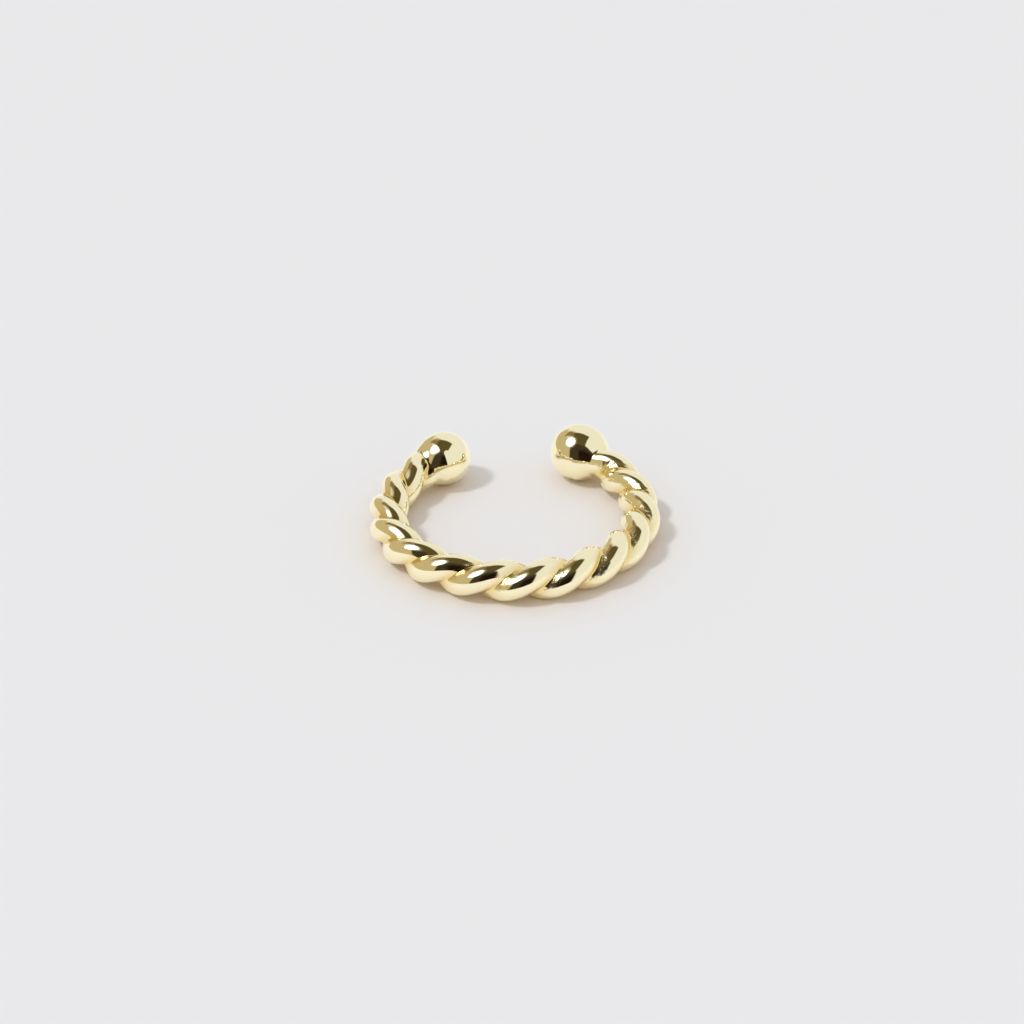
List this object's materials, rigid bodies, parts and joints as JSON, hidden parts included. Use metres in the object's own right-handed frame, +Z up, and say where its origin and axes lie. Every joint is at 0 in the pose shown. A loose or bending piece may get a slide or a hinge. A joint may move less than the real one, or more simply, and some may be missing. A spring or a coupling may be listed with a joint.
{
  "type": "ear cuff",
  "caption": "Open C-shaped ear cuff of thick twisted gold-coloured rope with a polished ball on each end, slipped over the rim of an ear without a piercing.",
  "frame": {"origin": "the middle of the footprint, on the surface that the cuff lies on", "axes": "+Z up, along the ring's axis; the mouth between the balls opens towards +Y, the front of the rope faces -Y and +X is to the right seen from the front"},
  "size_m": [0.014, 0.0134, 0.0029],
  "materials": {
    "gold_plate": "mirror-polished pale yellow gold plate over brass, with a faint casting grain in the grooves"
  },
  "bodies": {
    "root": {"twisted_cuff": "gold_plate"}
  },
  "joints": []
}
